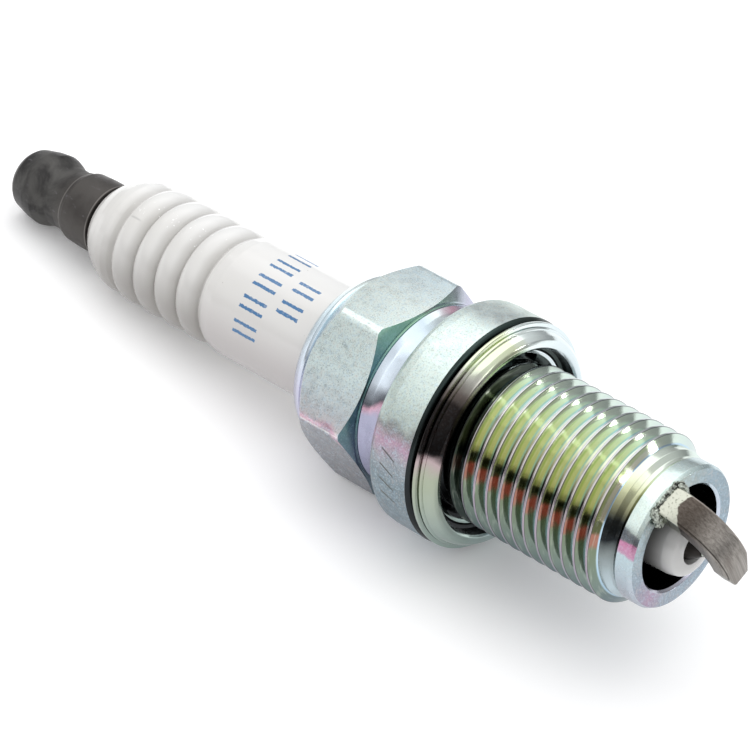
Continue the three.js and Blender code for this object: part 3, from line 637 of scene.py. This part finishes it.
def build_insulator(ceramic):
    top = INSULATOR_TOP_X
    barrel = FIRST_NOTCH_X + (NOTCH_COUNT - 1) * RIB_PITCH
    end = NOSE_END_X
    corners = [
        (top, 1.95, 0, 0), (top, 3.2, 0.1, 0), (top + 0.25, 3.55, 0.3, 0), (top + 0.85, 4.05, 0.8, 0),
        (top + 1.7, 4.52, 1.0, 0), (top + 2.5, 4.84, 0.9, 0), (FIRST_NOTCH_X - 1.1, 4.96, 0.5, 0),
        (FIRST_NOTCH_X - 0.45, 4.76, 0.3, 0), *rib_corners(),
        (barrel + 0.3, 4.78, 0.15, 0), (barrel + 0.8, 5.02, 0.3, 0), (barrel + 1.7, INSULATOR_R, 0.8, 0),
        (-10.3, INSULATOR_R, 0.3, 0), (-9.5, 5.95, 0.2, 0), (-4.6, 5.95, 0.2, 0), (-3.2, 4.65, 0.2, 0),
        (3.3, 4.65, 0.2, 0), (4.4, 3.5, 0.2, 0), (6.6, 3.42, 0.2, 0), (end - 1.1, 2.85, 1.0, 0),
        (end - 0.12, 2.6, 0.55, 0), (end, 1.9, 0.3, 0), (end, 1.5, 0.08, 0), (end - 1.0, 1.46, 0, 0),
        (end - 1.2, 1.32, 0, 0), (-3.4, 1.32, 0, 0), (-3.4, 1.95, 0, 0),
    ]
    return revolved("insulator_fine", corners, [ceramic], SEGMENTS)


# ---- Shell -------------------------------------------------------------------------------------

RIM, FLATS, CHAMFER, WAIST, FLANGE, DARK, GROOVE, BAND, END = range(9)


def hex_radius(degrees):
    """Axis to the wrench surface: a flat, or the rounded-off corner between two flats."""
    off_centre = math.radians((degrees % 60) - 30)
    flat = HEX_HALF / math.cos(off_centre)
    softness = 0.03
    share = max(0.0, min(1.0, 0.5 + 0.5 * (HEX_CORNER_R - flat) / softness))
    return HEX_CORNER_R + (flat - HEX_CORNER_R) * share - softness * share * (1 - share)


def shell_corners(degrees):
    """The shell's outline in one direction, out along its outside and back through its bore."""
    r = hex_radius(degrees)
    back_x = -12.15 - (HEX_CORNER_R - r)
    front_x = -8.05 + (HEX_CORNER_R - r) * 0.62
    back = RIM_BACK_X
    return [
        (back + 0.4, 5.25, 0.1, RIM), (back, 5.5, 0.25, RIM), (back + 0.42, 6.3, 0.5, RIM),
        (back + 0.95, 6.9, 0.5, RIM), (back + 1.6, RIM_R, 0.4, RIM), (-14.0, RIM_R + 0.02, 0.02, RIM),
        (-13.95, RIM_R - 0.06, 0.02, RIM), (-13.9, RIM_R + 0.02, 0.02, RIM),
        (back_x - 0.35, max(RIM_R + 0.03, r - 0.35), 0.06, FLATS), (back_x, r, 0.1, FLATS),
        (front_x, r, 0.06, CHAMFER), (CHAMFER_FRONT_X, 7.98, 0.03, CHAMFER), (-7.36, 7.84, 0.02, CHAMFER),
        (-7.2, 7.84, 0.03, CHAMFER), (-7.18, 7.72, 0.03, WAIST), (-6.6, WAIST_R, 0.5, WAIST),
        (-5.2, WAIST_R, 0.7, WAIST), (FLANGE_BACK_X, 9.42, 0.05, FLANGE), (-3.9, 9.68, 0.3, FLANGE),
        (-3.2, FLANGE_R, 0.8, FLANGE), (-0.36, FLANGE_R, 0.1, DARK), (-0.16, 9.62, 0.08, DARK),
        (0, 9.4, 0.08, DARK), (0, 6.4, 0.1, DARK), (0.3, UNDERCUT_R, 0.1, DARK),
        (THREAD_START_X - 0.2, UNDERCUT_R, 0.1, DARK), (THREAD_START_X, THREAD_ROOT_R, 0, GROOVE),
        (THREAD_END_X - 0.25, THREAD_ROOT_R, 0.1, GROOVE), (16.85, GROOVE_R, 0.15, GROOVE),
        (17.2, GROOVE_R, 0.15, GROOVE), (17.5, END_BAND_R, 0.05, BAND),
        (REACH - 0.32, END_BAND_R, 0.08, BAND), (REACH, END_FACE_R - 0.05, 0.1, END),
        (REACH, END_BORE_R + 0.2, 0.08, RIM), (REACH - 0.2, END_BORE_R, 0.06, DARK),
        (5.6, END_BORE_R, 0, DARK), (5.6, 3.8, 0, DARK), (4.6, 3.8, 0, DARK), (3.6, 4.8, 0, DARK),
        (-3.0, 4.8, 0, DARK), (-4.4, 6.15, 0, DARK), (-14.6, 6.15, 0, DARK), (-15.1, 5.4, 0.1, RIM),
    ]


def build_shell(materials):
    return turned("shell_fine", lambda degrees: rounded(shell_corners(degrees)), materials, 360, 34)


def thread_section(x, height):
    """One pitch of the thread as (x, r) points: rounded roots, straight flanks, a narrow crest."""
    half = THREAD_PITCH / 2
    half_crest = 0.085
    crest = THREAD_ROOT_R + (THREAD_MAJOR_R - THREAD_ROOT_R) * height
    low = THREAD_ROOT_R - 0.12
    corners = [
        (x - half * 0.985, low - 0.2, 0, 0), (x - half * 0.985, low + 0.08, 0.03, 0),
        (x - half * 0.84, THREAD_ROOT_R, 0.12, 0), (x - half_crest, crest, 0.035, 0),
        (x + half_crest, crest, 0.035, 0), (x + half * 0.84, THREAD_ROOT_R, 0.12, 0),
        (x + half * 0.985, low + 0.08, 0.03, 0),
        (x + half * 0.985, low - 0.2, 0, 0),
    ]
    return rounded(corners, closed=False)


def build_thread(metal):
    """The helical ridge, which rises just ahead of the seat and fades out at the front groove."""
    steps = 120
    count = round(THREAD_TURNS * steps)
    rise = 0.34 * steps
    fall = 0.25 * steps
    sections = []
    for i in range(count + 1):
        middle_x = THREAD_RIDGE_X + THREAD_PITCH * i / steps
        height = min(1.0, 0.05 + i / rise, 0.05 + (count - i) / fall)
        sections.append([around(x, r, 360 * i / steps) for x, r, _ in thread_section(middle_x, height)])
    return swept("thread_fine", sections, [metal], 34)


# ---- Gasket ------------------------------------------------------------------------------------

def build_gasket(metal, dark):
    """The folded ring: a back leaf with an inner lip, a fine seam, and a bead that bulges forwards."""
    back, front, outer = GASKET_BACK_X, GASKET_FRONT_X, GASKET_OUTER_R
    corners = [
        (back, 7.12, 0.08, 1), (back, outer - 0.02, 0.12, 0), (back + 0.3, outer, 0.12, 0),
        (back + 0.36, 9.36, 0.02, 0), (back + 0.31, 9.16, 0.02, 0), (back + 0.4, 9.14, 0.02, 0),
        (back + 0.46, 9.38, 0.05, 0), (back + 0.62, 9.28, 0.04, 0), (back + 0.66, 9.16, 0.02, 0),
        (back + 0.72, 9.18, 0.03, 0), (back + 1.15, 9.0, 0.5, 0), (back + 1.48, 8.74, 0.3, 0),
        (front, 8.46, 0.12, 0), (front, 8.14, 0.12, 0), (front - 0.2, 7.94, 0.15, 1),
        (front - 0.7, 7.88, 0.2, 1), (back + 0.42, 7.9, 0.08, 1), (back + 0.32, 7.6, 0.1, 1),
        (back + 0.4, 7.42, 0.06, 0), (back + 0.34, 7.12, 0.06, 0),
    ]
    return revolved("gasket_fine", corners, [metal, dark], SEGMENTS, 50)


def build_claw(index, angle, metal):
    """A dented tongue of the back leaf, bent inwards to keep the ring on the neck."""
    outline = ((-1, -1), (-0.5, -1.15), (0.5, -1.15), (1, -1), (1, 1), (0.5, 1.15), (-0.5, 1.15), (-1, 1))
    sections = []
    steps = 8
    root_r, reach_in = 7.35, 0.8
    for step in range(steps + 1):
        t = step / steps
        r = root_r - reach_in * t
        half = 1.15 - 0.4 * t * t
        x = GASKET_BACK_X + 0.16 + 0.05 * math.sin(math.pi * t)
        thick = 0.12 * (1 - 0.4 * t)
        ring = [around(x + lift * thick, r, angle + math.degrees(side * half / r)) for side, lift in outline]
        sections.append(ring)
    return swept(f"gasket_claw_{index}", sections, [metal], 60)


# ---- Electrodes --------------------------------------------------------------------------------

def on_strap(n, x, across):
    """A point in the strap's own frame: n out from the axis, x along the plug, across its width."""
    turn = Matrix.Rotation(math.radians(STRAP_ANGLE), 3, "X")
    return turn @ Vector((x, n, across))


def strap_path():
    """Stations along the strap's outer face as (n, x, outward n, outward x)."""
    bend_n = STRAP_FOOT_N - STRAP_BEND_R
    bend_x = STRAP_OUTER_X - STRAP_BEND_R
    stations = []
    for i in range(7):
        stations.append((STRAP_FOOT_N, REACH - 0.04 + (bend_x - REACH + 0.04) * i / 7, 1.0, 0.0))
    for i in range(33):
        angle = math.radians(90 * i / 32)
        c, s = math.cos(angle), math.sin(angle)
        stations.append((bend_n + STRAP_BEND_R * c, bend_x + STRAP_BEND_R * s, c, s))
    for i in range(1, 9):
        stations.append((bend_n + (STRAP_TIP_N - bend_n) * i / 8, STRAP_OUTER_X, 0.0, 1.0))
    return stations


def strap_section(station, inset):
    """The strip's rounded rectangular section at one station."""
    n, x, out_n, out_x = station
    taper = max(0.0, min(1.0, (STRAP_TAPER_N - n) / (STRAP_TAPER_N - STRAP_TIP_N)))
    half = (STRAP_WIDTH + (STRAP_TIP_WIDTH - STRAP_WIDTH) * taper) / 2 - inset
    corner_r = 0.17
    points = []
    for across, depth in ((1, 0), (1, 1), (-1, 1), (-1, 0)):
        for step in range(5):
            edge = math.radians(90 * step / 4)
            sideways, inwards = math.cos(edge), math.sin(edge)
            if across * (depth - 0.5) < 0:
                sideways, inwards = inwards, sideways
            w = across * (half - corner_r + corner_r * sideways)
            inner = STRAP_THICKNESS - inset - corner_r + corner_r * inwards
            outer = inset + corner_r - corner_r * inwards
            d = inner if depth else outer
            points.append(on_strap(n - out_n * d, x - out_x * d, w))
    return points


def build_strap(metal):
    stations = strap_path()
    sections = [strap_section(station, 0.0) for station in stations]
    n, x, out_n, out_x = stations[-1]
    sections[-1] = strap_section((n + 0.05, x, out_n, out_x), 0.0)
    sections.append(strap_section((n, x, out_n, out_x), 0.06))
    return swept("ground_strap_fine", sections, [metal], 50)


def build_weld(name, side, metal):
    """Upset weld metal squeezed out beside the strap's foot, as merged rough lumps."""
    rng = random.Random(31 + side)
    mesh = bmesh.new()
    for i in range(11):
        n = STRAP_FOOT_N - STRAP_THICKNESS * 1.05 + 0.16 * i * (1 if side > 0 else 0.9)
        radius = 0.23 + 0.17 * rng.random()
        reach = STRAP_WIDTH / 2 + 0.04 + 0.3 * rng.random()
        centre = on_strap(min(n, 5.62), REACH + 0.06 + 0.36 * rng.random(), side * reach)
        made = bmesh.ops.create_icosphere(mesh, subdivisions=3, radius=radius)
        for vertex in made["verts"]:
            vertex.co *= 1 + 0.5 * noise.noise(vertex.co * 5 + Vector((i, side, 0)))
            vertex.co += centre
    piece = finish_mesh(name, mesh, [metal], 60)
    remesh = piece.modifiers.new("merge", "REMESH")
    remesh.mode = "VOXEL"
    remesh.voxel_size = 0.055 * MM
    graph = bpy.context.evaluated_depsgraph_get()
    merged = bpy.data.meshes.new_from_object(piece.evaluated_get(graph))
    piece.modifiers.clear()
    piece.data = merged
    merged.shade_smooth()
    return piece


def build_foot_flash(metal):
    """A thin rough roll of weld metal along the strap's outer foot edge."""
    sections = []
    count = 48
    for i in range(count + 1):
        across = (STRAP_WIDTH / 2 + 0.2) * (2 * i / count - 1)
        ring = []
        for k in range(12):
            angle = 2 * math.pi * k / 12
            radius = 0.2 * (1 + 0.9 * noise.noise(Vector((across * 5, k * 0.8, 3.0))))
            n = STRAP_FOOT_N - 0.03 + radius * math.cos(angle)
            ring.append(on_strap(n, REACH + 0.02 + radius * math.sin(angle), across))
        sections.append(ring)
    return swept("strap_foot_flash", sections, [metal], 70)


def build_foot_ridge(metal):
    """The smooth ridge that the upset pushes up on the end face, outside the foot flash."""
    sections = []
    count = 40
    half_length = 2.0
    path_r = END_FACE_R - 0.04
    for i in range(count + 1):
        share = 2 * i / count - 1
        radius = 0.03 + 0.07 * math.cos(share * math.pi / 2)
        across = share * half_length
        n = math.sqrt(path_r ** 2 - across ** 2) - 0.03
        ring = []
        for k in range(10):
            angle = 2 * math.pi * k / 10
            x = REACH + 0.01 + radius * math.sin(angle)
            ring.append(on_strap(n + radius * math.cos(angle), x, across))
        sections.append(ring)
    return swept("strap_foot_ridge", sections, [metal], 70)


def build_electrode(metal):
    """The electrode round its copper core: a head on the bore's step, a body and a cone."""
    head, step = -5.2, -3.46
    head_r, body_r = 1.89, 1.25
    core_r, core_end = 0.68, 16.06
    cone_start = 20.15
    cone_end = TIP_BACK_X - 0.06
    corners = [
        (head, core_r, 0, 0), (head, head_r, 0.1, 0), (step, head_r, 0, 0), (step, body_r, 0, 0),
        (cone_start, body_r, 0.1, 0), (cone_end, 0.5, 0.06, 0), (cone_end, 0.02, 0, 0),
        (core_end, 0.02, 0, 0), (core_end, core_r, 0, 0),
    ]
    return revolved("centre_electrode_fine", corners, [metal], 96)


def build_tip(metal):
    wire_r = 0.3
    corners = [(TIP_BACK_X, 0, 0, 0), (TIP_BACK_X, wire_r, 0, 0), (TIP_END_X, wire_r, 0.03, 0),
               (TIP_END_X, 0, 0, 0)]
    return revolved("fine_wire_tip", corners, [metal], 64)


def build_tip_weld(metal):
    back = TIP_BACK_X
    front = back + 0.12
    bore_r = 0.31
    corners = [(back, bore_r, 0, 0), (back, 0.47, 0.05, 0), (front, 0.4, 0.05, 0), (front, bore_r, 0, 0)]
    return revolved("tip_weld_fine", corners, [metal], 64)


def build_pad(metal):
    pad_r = 0.5
    corners = [(PAD_FACE_X, 0, 0, 0), (PAD_FACE_X, pad_r, 0.04, 0), (PAD_BACK_X, pad_r, 0, 0),
               (PAD_BACK_X, 0, 0, 0)]
    return revolved("spark_pad_fine", corners, [metal], 64)


# ---- Camera, lights and floor ------------------------------------------------------------------

def build_camera():
    """The photograph's viewpoint: from the firing end, above and a little to the -Y side."""
    right = Vector((0.73037, 0.68250, 0.02741))
    up = Vector((-0.40778, 0.40348, 0.81910))
    back = right.cross(up)
    camera = bpy.data.objects.new("camera", bpy.data.cameras.new("camera"))
    camera.data.sensor_width = 36.0
    camera.data.lens = 173.8
    camera.data.clip_start = 0.01
    turn = Matrix((right, up, back)).transposed().to_4x4()
    camera.matrix_world = Matrix.Translation(Vector((147.52, -177.70, 166.28)) * MM) @ turn
    bpy.context.scene.collection.objects.link(camera)
    bpy.context.scene.camera = camera


def add_softbox(name, direction, distance, size, power):
    """A rectangular area light that faces the plug from the given direction."""
    light = bpy.data.lights.new(name, "AREA")
    light.shape = "RECTANGLE"
    light.size, light.size_y = size
    light.energy = power
    lamp = bpy.data.objects.new(name, light)
    away = Vector(direction).normalized()
    facing = away.to_track_quat("Z", "Y").to_matrix().to_4x4()
    lamp.matrix_world = Matrix.Translation(away * distance) @ facing
    bpy.context.scene.collection.objects.link(lamp)


def build_lights():
    add_softbox("softbox_top", (-0.2, 0.25, 1.0), 0.6, (0.9, 0.7), 1.7)
    add_softbox("softbox_camera_left", (-0.35, -0.9, 0.75), 0.55, (0.4, 0.4), 0.25)
    add_softbox("softbox_front", (1.0, 0.1, 0.6), 0.55, (0.25, 0.3), 0.25)
    add_softbox("window_small", (0.713, 0.685, 0.151), 0.5, (0.045, 0.045), 0.1)
    add_softbox("window_slit", (0.947, 0.245, 0.209), 0.5, (0.1, 0.012), 0.03)


def build_world():
    """A grey studio that is brighter overhead, so that the metal has something to reflect."""
    world = bpy.data.worlds.new("studio")
    bpy.context.scene.world = world
    world.use_nodes = True
    nodes, links = world.node_tree.nodes, world.node_tree.links
    height = nodes.new("ShaderNodeSeparateXYZ")
    links.new(nodes.new("ShaderNodeTexCoord").outputs["Generated"], height.inputs[0])
    ramp = nodes.new("ShaderNodeValToRGB")
    links.new(height.outputs[2], ramp.inputs[0])
    stops = ((0.0, 0.34), (0.12, 0.42), (0.35, 0.68), (0.7, 0.95), (1.0, 1.0))
    while len(ramp.color_ramp.elements) < len(stops):
        ramp.color_ramp.elements.new(0.5)
    for element, (at, grey) in zip(ramp.color_ramp.elements, stops):
        element.position = at
        element.color = (grey, grey, grey * 1.01, 1.0)
    links.new(ramp.outputs[0], nodes["Background"].inputs[0])


def build_floor():
    """A pale table that the flange and the terminal both touch. Its faint glow lifts it to the
    white of a studio sweep."""
    terminal_r = 3.22
    terminal_touch_x = TERMINAL_TOP_X + 3.1
    flange_touch_x = -0.6
    clearance = 0.02
    run = flange_touch_x - terminal_touch_x
    tilt = math.atan((FLANGE_R - terminal_r) / run)
    half_width = 900.0
    mesh = bmesh.new()
    bmesh.ops.create_grid(mesh, x_segments=2, y_segments=2, size=half_width)
    uniform = {"Roughness": 0.9, "Emission Color": (1.0, 1.0, 1.0, 1.0), "Emission Strength": 0.12}
    g = Finish("floor_paper", uniform)
    tone = g.mix(g.span(g.noise(0.02, 2.0), 0.3, 0.7), (0.93, 0.93, 0.93), (0.95, 0.95, 0.95))
    floor = finish_mesh("floor", mesh, [g.wire(tone)])
    touch = Vector((flange_touch_x, 0, -FLANGE_R - clearance)) * MM
    floor.matrix_world = Matrix.Translation(touch) @ Matrix.Rotation(tilt, 4, "Y")


# ---- Assembly ----------------------------------------------------------------------------------

def build_plug():
    nickel = strap_nickel()
    weld = weld_metal()
    iridium = plain_metal("iridium", (0.66, 0.66, 0.68), 0.25)
    # The electrode's near-black colour is painted shade, for its place deep in the dark bore.
    electrode = plain_metal("electrode_nickel", (0.03, 0.027, 0.025), 0.5)
    shell_materials = [
        rim_plating(), flats_plating(), chamfer_plating(), waist_plating(), flange_plating(),
        dark_plating("plating_dark"), groove_plating(), band_plating(), end_plating(),
    ]
    stands_for(build_terminal(oxidised_steel()), "plug", "terminal_steel", "terminal_stud")
    stands_for(build_insulator(glaze()), "plug", "insulator_glaze", "insulator")
    stands_for(build_shell(shell_materials), "plug", "shell_plating", "shell")
    stands_for(build_thread(thread_plating()), "plug", "shell_plating", "shell")
    stands_for(build_strap(nickel), "plug", "strap_nickel", "ground_electrode")
    stands_for(build_weld("strap_weld_front_fine", 1, weld), "plug", "weld_metal", "strap_weld_front")
    stands_for(build_weld("strap_weld_rear_fine", -1, weld), "plug", "weld_metal", "strap_weld_rear")
    stands_for(build_foot_flash(weld), "plug", "weld_metal", "ground_electrode")
    stands_for(build_foot_ridge(shell_materials[BAND]), "plug", "shell_plating", "shell")
    stands_for(build_electrode(electrode), "plug", "electrode_nickel", "centre_electrode")
    stands_for(build_tip(iridium), "plug", "precious_metal", "iridium_tip")
    stands_for(build_tip_weld(weld), "plug", "weld_metal", "tip_weld")
    stands_for(build_pad(iridium), "plug", "precious_metal", "ground_electrode_pad")


def build_gasket_ring():
    metal = gasket_plating()
    dark = dark_plating("gasket_dark")
    stands_for(build_gasket(metal, dark), "gasket_ring", "gasket_plating", "gasket")
    for index, angle in enumerate(CLAW_ANGLES, 1):
        stands_for(build_claw(index, angle, dark), "gasket_ring", "gasket_plating", "gasket")


def paint_inner_pieces():
    """Finishes for the CAD pieces inside the plug, whose shapes are already right."""
    seal = plain_mineral("seal_glass", (0.1, 0.09, 0.085), 0.35)
    steel = plain_metal("packing_steel", (0.45, 0.45, 0.45), 0.35)
    finishes = {
        "upper_glass_seal": seal,
        "lower_glass_seal": seal,
        "resistor_core": plain_mineral("resistor_mix", (0.17, 0.17, 0.18), 0.5),
        "centre_electrode_core": plain_metal("copper", (0.75, 0.36, 0.22), 0.3),
        "talc_packing": plain_mineral("talc", (0.78, 0.75, 0.68), 0.9),
        "upper_packing_ring": steel,
        "lower_packing_ring": steel,
        "seat_packing_washer": steel,
    }
    for node, material in finishes.items():
        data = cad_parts[node].data
        data.materials.clear()
        data.materials.append(material)


bpy.context.scene.view_settings.view_transform = "Standard"
build_camera()
build_world()
build_lights()
build_floor()
build_plug()
build_gasket_ring()
paint_inner_pieces()

bpy.context.view_layer.update()
